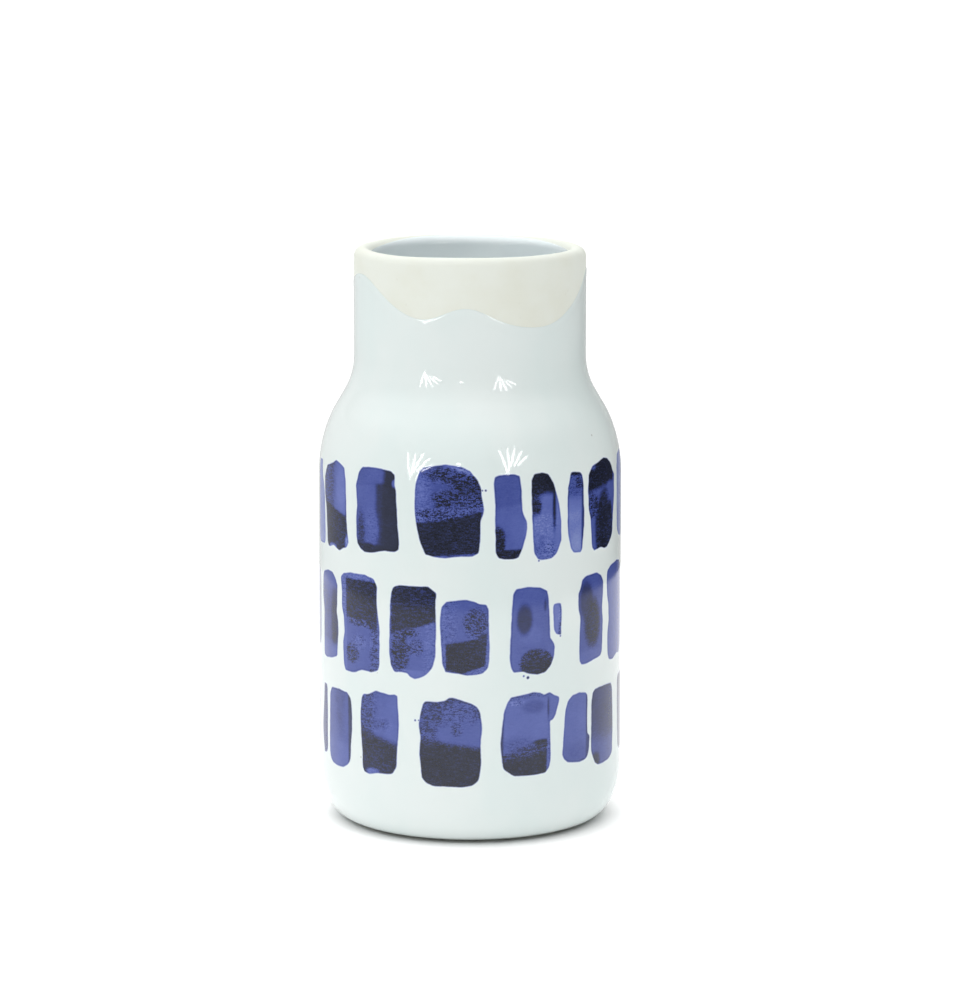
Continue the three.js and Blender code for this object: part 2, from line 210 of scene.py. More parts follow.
def settle_lip(piece):
    """The lip is trimmed by hand, so its top wanders a little and its mouth isn't a perfect round."""
    co = places(piece)
    angle = angle_from_front(co)
    share = smooth_step(RIM_TOP - 9 * MM, RIM_TOP, co[:, 2])
    dip = 0.16 * np.sin(angle * 2 + 0.6) + 0.09 * np.sin(angle * 5 + 2.0) - 0.1
    inner = smooth_step(NECK_RADIUS - 2 * MM, NECK_RADIUS - 6 * MM, np.hypot(co[:, 0], co[:, 1]))
    swell = (0.25 * np.sin(angle * 3 + 1.1) + 0.15 * np.sin(angle * 7)) * inner * share * MM
    r = np.hypot(co[:, 0], co[:, 1]) + swell
    co[:, 0] = r * np.sin(angle)
    co[:, 1] = -r * np.cos(angle)
    co[:, 2] += dip * share * MM
    move_to(piece, co)


CLAY_DEPTH = GLAZE_SKIN + FUSED
LIP_RADIUS = (CLAY_WALL - CLAY_DEPTH) / 2
LIP_MIDDLE = NECK_RADIUS - CLAY_DEPTH - LIP_RADIUS
LIP_HEIGHT = RIM_TOP - LIP_RADIUS


def hollow_curve(depth):
    """The inside from the floor's middle up to the lip, with a depth of lining left on the clay."""
    wall = inset(BODY_CURVE, CLAY_WALL + depth)
    wall_foot = OUTLINE[5, 1]
    wall = wall[wall[:, 1] >= wall_foot]
    floor = FOOT_HEIGHT + CLAY_FLOOR + depth
    rounding = wall_foot - floor
    curve = arc(wall[0, 0] - rounding, wall_foot, rounding, -90, 0, 14)[:-1]
    middle = np.array([[0, floor], [curve[0, 0] * 0.5, floor]])
    return np.vstack([middle, curve, wall[wall[:, 1] < NECK_FOOT]])


def make_clay():
    base = inset(BODY_CURVE, CLAY_DEPTH)
    ring = OUTLINE[0, 0] - 3.0 * MM
    inner = ring - FOOT_WIDTH
    foot = np.vstack([
        [[0, FOOT_RECESS], [inner * 0.6, FOOT_RECESS]],
        arc(inner - FOOT_RECESS, FOOT_RECESS - FOOT_EASE, FOOT_EASE, 90, 40, 3),
        arc(inner + FOOT_EASE, FOOT_EASE, FOOT_EASE, 220, 270, 3),
        arc(ring - FOOT_EASE, FOOT_EASE, FOOT_EASE, 270, 360, 4),
    ])
    outside = np.linspace(NECK_FOOT + 2 * MM, LIP_HEIGHT - 1 * MM, 6)
    inside = np.linspace(NECK_FOOT + 2 * MM, LIP_HEIGHT - 1 * MM, 12)
    bare = np.stack([np.full_like(outside, NECK_RADIUS - CLAY_DEPTH), outside], 1)
    inside_neck = np.stack([np.full_like(inside, NECK_RADIUS - CLAY_WALL), inside], 1)
    lip = arc(LIP_MIDDLE, LIP_HEIGHT, LIP_RADIUS, 0, 180, 18)
    clay = turn("clay_shell", np.vstack([foot, base, bare, lip, inside_neck[::-1], hollow_curve(0)[::-1]]))
    settle_lip(clay)
    return clay


def make_outer_glaze():
    """A glossy skin whose top edge is a soft bead that follows the scallops."""
    top = RIM_TOP
    neck = np.linspace(NECK_FOOT, top - 6 * MM, 12)[1:]
    straight = np.stack([np.full_like(neck, NECK_RADIUS), neck], 1)
    bead_z = np.linspace(6, BEAD_LENGTH / MM, 6)[1:]
    swell = np.stack([NECK_RADIUS + GLAZE_BEAD * smooth_step(5, 2, bead_z), top - bead_z * MM], 1)
    rounds = np.radians(np.linspace(0, 90, 8))[1:]
    thick = GLAZE_SKIN + GLAZE_BEAD
    edge = np.stack([NECK_RADIUS - GLAZE_SKIN + thick * np.cos(rounds),
                     top - BEAD_LENGTH * (1 - np.sin(rounds))], 1)
    outer = np.vstack([BODY_CURVE, straight, swell, edge])
    inner_neck = np.stack([np.full_like(neck, NECK_RADIUS - GLAZE_SKIN), neck], 1)
    inner = np.vstack([inset(BODY_CURVE, GLAZE_SKIN), inner_neck])
    glaze = turn("outer_glaze_skin", np.vstack([outer, inner[::-1]]))
    co = places(glaze)
    edge_z = edge_height(angle_from_front(co))
    low, high = NECK_FOOT + 1 * MM, top - 6 * MM
    share = np.clip((co[:, 2] - low) / (high - low), 0, 1)
    co[:, 2] += (edge_z - top) * share
    move_to(glaze, co)
    return glaze


def make_lining():
    def over_lip(depth):
        return arc(LIP_MIDDLE, LIP_HEIGHT, LIP_RADIUS + depth, 180, LINING_REACH, 8)
    neck = np.linspace(NECK_FOOT + 2 * MM, LIP_HEIGHT - 1 * MM, 12)

    def wall(depth):
        return np.stack([np.full_like(neck, NECK_RADIUS - CLAY_WALL - depth), neck], 1)
    back = np.vstack([hollow_curve(FUSED), wall(FUSED), over_lip(FUSED)])
    front = FUSED + GLAZE_SKIN
    face = np.vstack([hollow_curve(front), wall(front), over_lip(front)])
    lining = turn("lining_glaze_skin", np.vstack([back, face[::-1]]))
    co = places(lining)
    r = np.hypot(co[:, 0], co[:, 1])
    angle = angle_from_front(co)
    round_lip = np.degrees(np.arctan2(co[:, 2] - LIP_HEIGHT, r - LIP_MIDDLE))
    size = np.hypot(co[:, 2] - LIP_HEIGHT, r - LIP_MIDDLE)
    reach = (LINING_REACH + SIDE_REACH - (SIDE_REACH - LINING_REACH) * np.cos(2 * angle)) / 2
    turned_back = 180 - (180 - round_lip) * (180 - reach) / (180 - LINING_REACH)
    on_lip = (co[:, 2] > LIP_HEIGHT + 0.01 * MM) & (round_lip > 90)
    new_r = np.where(on_lip, LIP_MIDDLE + size * np.cos(np.radians(turned_back)), r)
    co[:, 2] = np.where(on_lip, LIP_HEIGHT + size * np.sin(np.radians(turned_back)), co[:, 2])
    co[:, 0], co[:, 1] = new_r * np.sin(angle), -new_r * np.cos(angle)
    move_to(lining, co)
    settle_lip(lining)
    return lining


# ---- cobalt brush strokes ------------------------------------------------------------------------
WRAP = WALL_RADIUS / MM       # millimetres round the wall for each radian


def outer_loop(node):
    """The edge of a CAD stroke's outer face as (mm round from the front, mm up) points, in order."""
    mesh = CAD_NODES[node].data
    co = places(CAD_NODES[node])
    key = {}
    same = [key.setdefault(tuple(np.round(p, 6)), i) for i, p in enumerate(co)]
    edges = {}
    for face in mesh.polygons:
        corners = [same[v] for v in face.vertices]
        middle = np.mean([co[c] for c in corners], axis=0)
        outward = np.array([middle[0], middle[1], 0]) / np.hypot(middle[0], middle[1])
        if np.dot(face.normal, outward) < 0.6:
            continue
        for a, b in zip(corners, corners[1:] + corners[:1]):
            edges[(a, b)] = True
    rim = {a: b for a, b in edges if (b, a) not in edges}
    start = min(rim)
    loop = [start]
    while rim[loop[-1]] != start:
        loop.append(rim[loop[-1]])
    ring = co[loop]
    centre = math.atan2(ring[:, 0].mean(), -ring[:, 1].mean())
    around = np.arctan2(ring[:, 0], -ring[:, 1]) - centre
    around = centre + (around + math.pi) % (2 * math.pi) - math.pi
    return np.stack([around * WRAP, ring[:, 2] / MM], 1)


def rounded(loop, times=2):
    for _ in range(times):
        after = np.roll(loop, -1, axis=0)
        loop = np.stack([loop * 0.75 + after * 0.25, loop * 0.25 + after * 0.75], 1).reshape(-1, 2)
    return loop


def inside_distance(points, loop):
    """Distance from each point to the loop, positive inside it."""
    a, b = loop, np.roll(loop, -1, axis=0)
    run = b - a
    best = np.full(len(points), 1e9)
    crossings = np.zeros(len(points), int)
    for start, way, end in zip(a, run, b):
        t = np.clip(((points - start) @ way) / max(way @ way, 1e-12), 0, 1)
        best = np.minimum(best, np.hypot(*(points - start - t[:, None] * way).T))
        spans = (start[1] > points[:, 1]) != (end[1] > points[:, 1])
        if abs(way[1]) > 1e-12:
            across = start[0] + (points[:, 1] - start[1]) * way[0] / way[1]
            crossings += spans & (points[:, 0] < across)
    return np.where(crossings % 2 == 1, best, -best)


def painted(points, start_load, touches):
    """Amount of cobalt at each point: a first load, then each touch of the brush in turn."""
    load = np.full(len(points), float(start_load))
    grain = np.full(len(points), FINE_GRAIN)
    s, z = points[:, 0], points[:, 1]
    for touch in touches:
        kind, place, amount, soft = touch[:4]
        if kind in ("above", "below", "left", "right"):
            (s1, z1), (s2, z2) = place
            long = math.hypot(s2 - s1, z2 - z1)
            off = ((s2 - s1) * (z - z1) - (z2 - z1) * (s - s1)) / long
            sign = {"above": 1, "below": -1, "left": 1, "right": -1}[kind]
            depth = off * sign
        else:
            cs, cz, rs, rz = place
            depth = (1 - np.hypot((s - cs) / rs, (z - cz) / rz)) * min(rs, rz)
        share = smooth_step(-soft / 2, soft / 2, depth)
        load += (amount - load) * share
        if len(touch) > 4:
            grain += (touch[4] - grain) * share
    return load, grain


def lay_wash(name, low, high, grid, edge_of, ink_of):
    """A thin skin of flux and cobalt wrapped on to the glaze between two corners, in mm. edge_of gives each
    point's depth inside the colour's edge and ink_of its load and grain; both are stored on the points."""
    size = high - low
    across, up = (int(n) for n in np.ceil(size / grid))
    deselect()
    bpy.ops.mesh.primitive_grid_add(x_subdivisions=across, y_subdivisions=up, size=1)
    piece = bpy.context.object
    piece.name = piece.data.name = name
    flat = places(piece)[:, :2]
    points = low + (flat / flat.max(0) + 1) / 2 * size
    edge = edge_of(points)
    load, grain = ink_of(points)
    outside = edge < -STROKE_MARGIN
    lift = STROKE_LIFT * smooth_step(-STROKE_MARGIN, 0.1, edge) - 0.03 * outside
    r = surface_radius(points[:, 1] * MM) + lift * MM
    angle = points[:, 0] / WRAP
    move_to(piece, np.stack([r * np.sin(angle), -r * np.cos(angle), points[:, 1] * MM], 1))
    mesh = piece.data
    for label, values in (("edge", edge), ("load", load), ("grain", grain)):
        layer = mesh.attributes.new(label, "FLOAT", "POINT")
        layer.data.foreach_set("value", values.astype(np.float32))
    bpy.ops.object.mode_set(mode="EDIT")
    bpy.ops.mesh.select_mode(type="FACE")
    bpy.ops.mesh.select_all(action="DESELECT")
    bpy.ops.object.mode_set(mode="OBJECT")
    for face in mesh.polygons:
        face.select = bool(outside[list(face.vertices)].all())
    bpy.ops.object.mode_set(mode="EDIT")
    bpy.ops.mesh.delete(type="FACE")
    bpy.ops.object.mode_set(mode="OBJECT")
    face = mesh.polygons[len(mesh.polygons) // 2]
    if face.normal.x * face.center.x + face.normal.y * face.center.y < 0:
        bpy.ops.object.mode_set(mode="EDIT")
        bpy.ops.mesh.select_all(action="SELECT")
        bpy.ops.mesh.flip_normals()
        bpy.ops.object.mode_set(mode="OBJECT")
    body = piece.modifiers.new("body", "SOLIDIFY")
    body.thickness = STROKE_BODY
    body.offset = -1
    bpy.ops.object.modifier_apply(modifier=body.name)
    bpy.ops.object.shade_smooth()
    return piece


def make_stroke(node, start_load, touches, source_centre=None, flipped=False):
    """One brush stroke over its CAD outline. A repeated one takes its ink from the stroke that it repeats."""
    loop = rounded(outer_loop(node))
    room = STROKE_MARGIN + STROKE_GRID

    def ink_of(points):
        drawn = points.copy()
        if source_centre is not None:
            own = (loop[:, 0].min() + loop[:, 0].max()) / 2
            drawn[:, 0] = source_centre + (drawn[:, 0] - own) * (-1 if flipped else 1)
        return painted(drawn, start_load, touches)

    return lay_wash(node + "_wash", loop.min(0) - room, loop.max(0) + room, STROKE_GRID,
                    lambda points: inside_distance(points, loop), ink_of)


def make_splashes():
    """Droplets that flew off the brush."""
    drops = []
    for number, (s, z, size, ink) in enumerate(SPLASHES):
        middle = np.array([s, z])
        reach = size + STROKE_MARGIN + 0.2
        drops.append(lay_wash(
            f"splash_{number}", middle - reach, middle + reach, SPLASH_GRID,
            lambda points: size - np.hypot(*(points - middle).T),
            lambda points: (np.full(len(points), ink), np.zeros(len(points)))))
    deselect()
    for drop in drops:
        drop.select_set(True)
    bpy.context.view_layer.objects.active = drops[0]
    bpy.ops.object.join()
    drops[0].name = drops[0].data.name = "ink_splashes"
    return drops[0]


# Each stroke: its first load of cobalt, then the touches laid over it. A line touch has two points, in mm
# round from the front and mm up, and the new load lies above, below, left or right of the line as drawn
# upwards or to the right; a spot has its centre and its two radii. Then come the load, the softness of the
# border in mm and, where the brush was dry, the grain.
STROKES = {
    # Painted sheen in part: this stroke by the left silhouette has a pale load, standing in for the glaze's
    # grazing reflection there as well as the wash's own tone.
    "top_stroke_01": (0.36, [("below", ((-80, 122), (-70, 121)), 0.32, 3)]),
    "top_stroke_02": (0.56, [
        ("left", ((-69, 110), (-67, 160)), 0.76, 5, 0.3), ("spot", (-62, 142, 3.5, 9), 0.46, 3),
        ("below", ((-76, 135.4), (-58, 131.4)), 0.90, 1.6, 0.3),
        ("right", ((-58.8, 110), (-58.2, 160)), 0.80, 1.0),
        ("spot", (-69, 117.4, 3.4, 1.4), 0.34, 1.0), ("spot", (-57.4, 120.5, 1.7, 3), 0.40, 1.2)]),
    "top_stroke_03": (0.70, [
        ("below", ((-50, 145.6), (-30, 147.4)), 0.64, 1.0),
        ("right", ((-42.0, 110), (-40.4, 147)), 0.86, 3.0),
        ("above", ((-50, 146.0), (-30, 147.8)), 0.66, 1.8),
        ("right", ((-38.4, 110), (-37.4, 134)), 0.91, 3.0),
        ("spot", (-43.2, 128, 3.8, 8), 0.62, 3.0, 0.25), ("spot", (-48.6, 126, 2.0, 8), 0.80, 2.5, 0.3),
        ("below", ((-50, 122.8), (-36, 121.4)), 0.91, 1.6), ("spot", (-31.6, 147.6, 1.2, 1.6), 0.5, 1)]),
    "top_stroke_04": (0.72, [
        ("left", ((-16.6, 110), (-15.4, 160)), 0.60, 4, 0.35), ("spot", (3, 149, 10, 9), 0.85, 5, 1.0),
        ("spot", (-10, 142.5, 5, 3.2), 0.80, 3, 1.1), ("spot", (-8, 152, 9, 3), 0.76, 3, 0.9),
        ("spot", (1, 141.5, 7, 3), 0.76, 3, 1.2), ("below", ((-24, 138.0), (5, 140.0)), 0.66, 1.5, 1.0),
        ("left", ((-19.6, 110), (-18.6, 160)), 0.56, 2),
        ("below", ((-24, 132.4), (-8, 134.4)), 0.92, 1.2, 0.3),
        ("below", ((-9, 134.2), (4, 137.8)), 0.92, 1.2, 0.3),
        ("above", ((-9.5, 155.6), (3.4, 150.9)), 0.44, 1.4),
        ("below", ((-7, 120.0), (4, 120.9)), 0.52, 0.9), ("right", ((3.7, 118), (4.5, 134)), 0.62, 0.9)]),
    "top_stroke_05": (0.62, [
        ("above", ((8, 138), (24, 141)), 0.69, 3), ("spot", (20.5, 130, 4.2, 9), 0.56, 4),
        ("right", ((22.0, 118), (22.8, 136)), 0.44, 1.4), ("spot", (11.4, 125.6, 2.8, 5.4), 0.91, 1.8, 0.6),
        ("below", ((9, 121.9), (22, 121.9)), 0.92, 1.2, 0.4), ("left", ((9.9, 118), (9.9, 134)), 0.66, 0.8)]),
    "top_stroke_06": (0.50, [
        ("spot", (31, 131, 6, 5), 0.44, 4, 0.3), ("spot", (28, 121, 4.5, 6), 0.54, 4, 0.4),
        ("left", ((25.6, 110), (26.2, 136)), 0.72, 1.0), ("spot", (33.5, 120, 3, 5), 0.46, 2.5, 0.7),
        ("above", ((24, 137.6), (33, 146.6)), 0.88, 5.0, 0.5),
        ("spot", (27.4, 138.5, 2.4, 3.2), 0.90, 2, 0.7),
        ("above", ((24, 145.6), (38, 143.0)), 0.98, 4.0), ("spot", (35.9, 138, 0.9, 9), 0.90, 0.9),
        ("right", ((37.2, 110), (36.4, 150)), 0.46, 1.2), ("below", ((28, 118.2), (38, 121)), 0.48, 2)]),
    "top_stroke_07": (0.48, [
        ("above", ((42, 141.6), (51, 140.6)), 0.66, 4, 0.3),
        ("spot", (48.6, 146.4, 1.8, 2.4), 0.78, 1.5, 0.8),
        ("below", ((40, 137), (52, 136)), 0.38, 7), ("left", ((42.9, 110), (42.9, 160)), 0.78, 0.8),
        ("right", ((50.4, 140), (50.6, 160)), 0.80, 0.8),
        ("above", ((42, 150.2), (51, 149.4)), 0.92, 1.0, 0.9),
        ("spot", (46.5, 122, 3, 4), 0.34, 3)]),
    "top_stroke_08": (0.62, [
        ("spot", (57.5, 136, 4, 5), 0.76, 3, 0.8), ("spot", (67, 126, 7.6, 15.5), 0.88, 2.6, 0.3),
        ("spot", (65.5, 126, 3.6, 13), 0.93, 3), ("above", ((52, 141.2), (76, 144.6)), 0.96, 3.4, 0.4),
        ("spot", (71.8, 140, 2.6, 4.0), 0.62, 3.4), ("right", ((74.6, 110), (75.0, 160)), 0.62, 1.4),
        ("spot", (57.6, 151.6, 2.6, 1.2), 0.66, 1.2), ("left", ((55.0, 116), (54.4, 150)), 0.60, 0.8)]),
    # Painted sheen in part: this stroke by the right silhouette has a pale load, paler again towards the
    # silhouette, standing in for the glaze's grazing reflection there as well as the wash's own tone.
    "top_stroke_09": (0.30, [("right", ((90, 110), (90, 160)), 0.22, 4)]),
    "middle_stroke_01": (0.80, [("below", ((-95, 90), (-70, 88)), 0.70, 10)]),
    "middle_stroke_02": (0.74, [
        ("spot", (-67.8, 86.5, 2.8, 13), 0.88, 3), ("below", ((-80, 78), (-62, 77)), 0.60, 5),
        ("above", ((-80, 101), (-62, 101)), 0.62, 6)]),
    "middle_stroke_03": (0.64, [
        ("right", ((-44, 70), (-43, 92)), 0.68, 3, 0.7), ("spot", (-54.5, 76, 4.0, 3.8), 0.78, 2.6, 0.9),
        ("above", ((-60, 91.2), (-38, 86.2)), 0.90, 1.6, 0.45),
        ("above", ((-60, 106.4), (-38, 106.8)), 0.50, 1.2),
        ("left", ((-57.6, 70), (-58.6, 108)), 0.54, 0.9), ("right", ((-40.3, 90), (-40.4, 108)), 0.55, 0.9),
        ("spot", (-49, 89.2, 7, 1.4), 0.70, 1.6, 1.2), ("spot", (-50, 81, 4, 3), 0.58, 3, 0.6)]),
    "middle_stroke_04": (0.64, [
        ("spot", (-29.6, 79, 4.0, 7.5), 0.80, 3.4, 1.1), ("spot", (-22, 82, 4.0, 3.0), 0.70, 3, 0.8),
        ("right", ((-19, 68), (-18.4, 92)), 0.58, 3, 0.3),
        ("above", ((-34, 86.4), (-12, 93.2)), 0.90, 1.3, 0.4),
        ("above", ((-32, 106.6), (-22, 107.4)), 0.58, 0.9), ("left", ((-33.2, 86), (-33.0, 106)), 0.56, 0.9),
        ("below", ((-33, 72.6), (-27, 72.6)), 0.54, 0.9), ("spot", (-26, 87.6, 5, 1.6), 0.74, 1.4, 1.2)]),
    "middle_stroke_05": (0.64, [
        ("left", ((-6, 60), (-5, 110)), 0.62, 4, 0.35), ("spot", (2.4, 92.5, 4.6, 5.4), 0.76, 4, 1.0),
        ("below", ((-9.8, 83.8), (6.4, 86.8)), 0.92, 1.2, 0.35), ("spot", (6, 86.4, 2.6, 2.0), 0.88, 1.2),
        ("left", ((-9.6, 60), (-9.8, 84)), 0.58, 0.8), ("right", ((5.2, 60), (6.6, 82)), 0.54, 0.9),
        ("below", ((0.5, 73.2), (7, 75.6)), 0.56, 0.9), ("below", ((-10, 73.6), (-5, 72.4)), 0.58, 0.9)]),
    "middle_stroke_06": (0.63, [
        ("spot", (25, 86.5, 5, 4), 0.58, 3), ("spot", (22.4, 93.2, 3.4, 6.2), 0.87, 2.4, 0.05),
        ("spot", (31.6, 98.5, 0.7, 2.6), 0.78, 0.7), ("spot", (27.6, 75.2, 7.4, 5.6), 0.84, 1.4, 0.7),
        ("spot", (28.5, 73.4, 5.8, 3.6), 0.92, 2.0, 0.3), ("left", ((17, 68), (17.2, 106)), 0.68, 1.0)]),
    "middle_stroke_07": (0.44, [
        ("right", ((37.2, 66), (38.8, 106)), 0.62, 1.8, 0.7), ("spot", (37, 94, 2, 4), 0.42, 2)]),
    "middle_stroke_08": (0.66, [
        ("spot", (53.4, 98, 3.8, 7.5), 0.85, 3), ("spot", (57.5, 88, 5.2, 10), 0.89, 3.4, 0.2),
        ("below", ((48, 78), (66, 76)), 0.60, 3)]),
    "middle_stroke_09": (0.62, []),
    "lower_stroke_01": (0.66, []),
    "lower_stroke_02": (0.78, [("right", ((-72, 20), (-72, 66)), 0.86, 2)]),
    "lower_stroke_03": (0.66, [
        ("below", ((-70, 38), (-56, 37)), 0.60, 4), ("spot", (-63, 52, 4, 9), 0.73, 5),
        ("right", ((-56.8, 26), (-57.2, 64)), 0.86, 1.2)]),
    "lower_stroke_04": (0.62, [
        ("left", ((-43, 24), (-41, 64)), 0.72, 7, 0.5), ("spot", (-38, 49, 4, 2), 0.70, 3, 0.4),
        ("right", ((-36, 24), (-35, 64)), 0.58, 4), ("below", ((-49, 45.8), (-29, 40.8)), 0.90, 4.0, 0.3),
        ("spot", (-42.4, 28.6, 3.4, 1.5), 0.52, 1.2), ("right", ((-31.3, 26), (-30.6, 42)), 0.62, 1.0)]),
    "lower_stroke_05": (0.63, [
        ("above", ((-20, 51), (4, 53)), 0.68, 7, 0.5), ("spot", (-15.5, 56, 4.2, 5.6), 0.80, 3.8, 0.6),
        ("left", ((-14, 40), (-13, 62)), 0.72, 5, 0.5),
        ("above", ((-20, 59.6), (4, 59.0)), 0.72, 1.8, 0.5), ("spot", (-5.4, 49.2, 2.4, 2.6), 0.70, 2.4, 0.5),
        ("below", ((-21, 45.0), (-11, 43.6)), 0.88, 3.0, 0.4),
        ("below", ((-13, 41.8), (5, 40.2)), 0.93, 3.0, 0.2),
        ("spot", (-17.4, 34, 1.6, 6), 0.93, 2), ("left", ((-20.4, 25), (-20.6, 46)), 0.64, 0.8)]),
    "lower_stroke_06": (0.56, [
        ("above", ((14, 60.4), (33, 61.4)), 0.64, 1.6, 0.3), ("spot", (26.5, 57.4, 5.0, 2.6), 0.68, 2.2),
        ("spot", (19, 59.4, 3, 1.2), 0.44, 1.2, 0.6), ("spot", (20, 42, 7, 3), 0.66, 4, 0.2),
        ("below", ((12, 38.0), (34, 43.4)), 0.82, 4.0, 0.5),
        ("below", ((12, 34.4), (34, 39.0)), 0.93, 3.4, 0.2),
        ("left", ((13.2, 30), (13.6, 48)), 0.82, 1.2), ("spot", (29.6, 42.6, 3.4, 1.2), 0.90, 0.9),
        ("right", ((33.0, 30), (33.4, 54)), 0.86, 1.0), ("right", ((32.9, 54), (33.2, 63)), 0.58, 0.8),
        ("spot", (33.1, 56.5, 0.5, 4.5), 0.82, 0.7)]),
    "lower_stroke_07": (0.58, [
        ("below", ((40, 40), (54, 38)), 0.66, 6), ("right", ((53.0, 26), (53.4, 64)), 0.78, 1.0),
        ("spot", (51.4, 30, 2.0, 2.4), 0.86, 1.8)]),
    "lower_stroke_08": (0.82, [
        ("below", ((58, 40), (74, 40)), 0.70, 8), ("spot", (60, 30.5, 3, 3), 0.90, 2.4)]),
    "lower_stroke_09": (0.84, []),
}

# Droplets beside the strokes: mm round, mm up, radius and load.
SPLASHES = [
    (4.9, 146.2, 0.45, 0.9), (6.3, 146.2, 0.5, 0.9), (28.6, 116.8, 0.45, 0.7), (22.0, 70.3, 0.5, 0.6),
    (23.8, 69.5, 0.7, 0.85), (-21.0, 52.3, 0.4, 0.8), (-22.5, 52.2, 0.45, 0.8), (38.8, 85.1, 0.45, 0.8),
]

# The far side's strokes repeat the near side's brushwork: (stroke, the one it repeats, turned over or not).
REPEATS = [
    ("top_stroke_10", "middle_stroke_02", False), ("top_stroke_11", "top_stroke_03", True),
    ("top_stroke_12", "lower_stroke_08", False), ("top_stroke_13", "top_stroke_05", True),
    ("top_stroke_14", "middle_stroke_08", False), ("top_stroke_15", "top_stroke_08", True),
    ("top_stroke_16", "top_stroke_06", False), ("top_stroke_17", "top_stroke_09", True),
    ("middle_stroke_10", "middle_stroke_02", True), ("middle_stroke_11", "top_stroke_09", False),
    ("middle_stroke_12", "middle_stroke_06", True), ("middle_stroke_13", "lower_stroke_03", False),
    ("middle_stroke_14", "top_stroke_05", False), ("middle_stroke_15", "middle_stroke_09", True),
    ("middle_stroke_16", "middle_stroke_04", False), ("middle_stroke_17", "top_stroke_07", True),
    ("middle_stroke_18", "lower_stroke_08", True),
    ("lower_stroke_10", "top_stroke_05", False), ("lower_stroke_11", "lower_stroke_04", True),
    ("lower_stroke_12", "top_stroke_02", True), ("lower_stroke_13", "lower_stroke_07", False),
    ("lower_stroke_14", "lower_stroke_03", True), ("lower_stroke_15", "middle_stroke_04", True),
    ("lower_stroke_16", "top_stroke_09", False), ("lower_stroke_17", "lower_stroke_09", True),
]


# ---- finishes ------------------------------------------------------------------------------------
def group(name, takes, gives):
    tree = bpy.data.node_groups.new(name, "ShaderNodeTree")
    for label, kind, value in takes:
        tree.interface.new_socket(name=label, in_out="INPUT", socket_type=kind).default_value = value
    for label, kind in gives:
        tree.interface.new_socket(name=label, in_out="OUTPUT", socket_type=kind)
    return tree, tree.nodes.new("NodeGroupInput"), tree.nodes.new("NodeGroupOutput")


def add(tree, kind, **settings):
    node = tree.nodes.new(kind)
    for name, value in settings.items():
        setattr(node, name, value)
    return node


def maths(tree, operation, first, second=0.0, third=0.0, clamp=False):
    node = add(tree, "ShaderNodeMath", operation=operation, use_clamp=clamp)
    for socket, value in zip(node.inputs, (first, second, third)):
        if isinstance(value, bpy.types.NodeSocket):
            tree.links.new(value, socket)
        else:
            socket.default_value = value
    return node.outputs[0]


def blend_colour(tree, share, first, second):
    node = add(tree, "ShaderNodeMix", data_type="RGBA")
    for socket, value in ((node.inputs[0], share), (node.inputs[6], first), (node.inputs[7], second)):
        if isinstance(value, bpy.types.NodeSocket):
            tree.links.new(value, socket)
        else:
            socket.default_value = value
    return node.outputs[2]


def noise(tree, place, scale, detail=2.0, roughness=0.5, stretch=(1, 1, 1)):
    squeeze = add(tree, "ShaderNodeMapping")
    squeeze.inputs["Scale"].default_value = stretch
    tree.links.new(place, squeeze.inputs["Vector"])
    node = add(tree, "ShaderNodeTexNoise")
    node.inputs["Scale"].default_value = scale
    node.inputs["Detail"].default_value = detail
    node.inputs["Roughness"].default_value = roughness
    tree.links.new(squeeze.outputs[0], node.inputs["Vector"])
    return node.outputs["Fac"]


def ramp(tree, value, stops):
    node = add(tree, "ShaderNodeValToRGB")
    tree.links.new(value, node.inputs[0])
    points = node.color_ramp.elements
    while len(points) < len(stops):
        points.new(1.0)
    for point, (position, colour) in zip(points, stops):
        point.position = position
        point.color = colour
    return node.outputs[0]


def spread(tree, value, low, high):
    """0 below low, 1 above high and a soft rise between."""
    node = add(tree, "ShaderNodeMapRange", interpolation_type="SMOOTHSTEP")
    tree.links.new(value, node.inputs[0])
    node.inputs[1].default_value = low
    node.inputs[2].default_value = high
    return node.outputs[0]


def glaze_group():
    """The glassy coat's own unevenness: slow drifts of tone, rare pinholes and a faint orange peel."""
    tree, given, out = group(
        "glaze_unevenness",
        [("Place", "NodeSocketVector", (0, 0, 0)), ("Colour", "NodeSocketColor", (0.8, 0.8, 0.8, 1)),
         ("Pooled colour", "NodeSocketColor", (0.7, 0.7, 0.7, 1)), ("Drift", "NodeSocketFloat", 0.5),
         ("Pinholes", "NodeSocketFloat", 1.0)],
        [("Colour", "NodeSocketColor"), ("Height", "NodeSocketFloat")])
    place = given.outputs["Place"]
    drift = noise(tree, place, 22, 3, 0.55, (1, 1, 0.6))
    share = maths(tree, "MULTIPLY", spread(tree, drift, 0.38, 0.66), given.outputs["Drift"])
    toned = blend_colour(tree, share, given.outputs["Colour"], given.outputs["Pooled colour"])
    cells = add(tree, "ShaderNodeTexVoronoi")
    cells.inputs["Scale"].default_value = 95
    tree.links.new(place, cells.inputs["Vector"])
    rare = spread(tree, noise(tree, place, 40, 0), 0.60, 0.66)
    dots = maths(tree, "MULTIPLY", maths(tree, "LESS_THAN", cells.outputs["Distance"], 0.045), rare)
    dots = maths(tree, "MULTIPLY", dots, given.outputs["Pinholes"])
    dark = blend_colour(tree, maths(tree, "MULTIPLY", dots, 0.45), toned, linear(150, 150, 140))
    tree.links.new(dark, out.inputs["Colour"])
    waves = noise(tree, place, 60, 2, 0.5)
    peel = maths(tree, "MULTIPLY", noise(tree, place, 420, 1, 0.5), 0.12)
    height = maths(tree, "SUBTRACT", maths(tree, "ADD", waves, peel), maths(tree, "MULTIPLY", dots, 0.5))
    tree.links.new(height, out.inputs["Height"])
    return tree


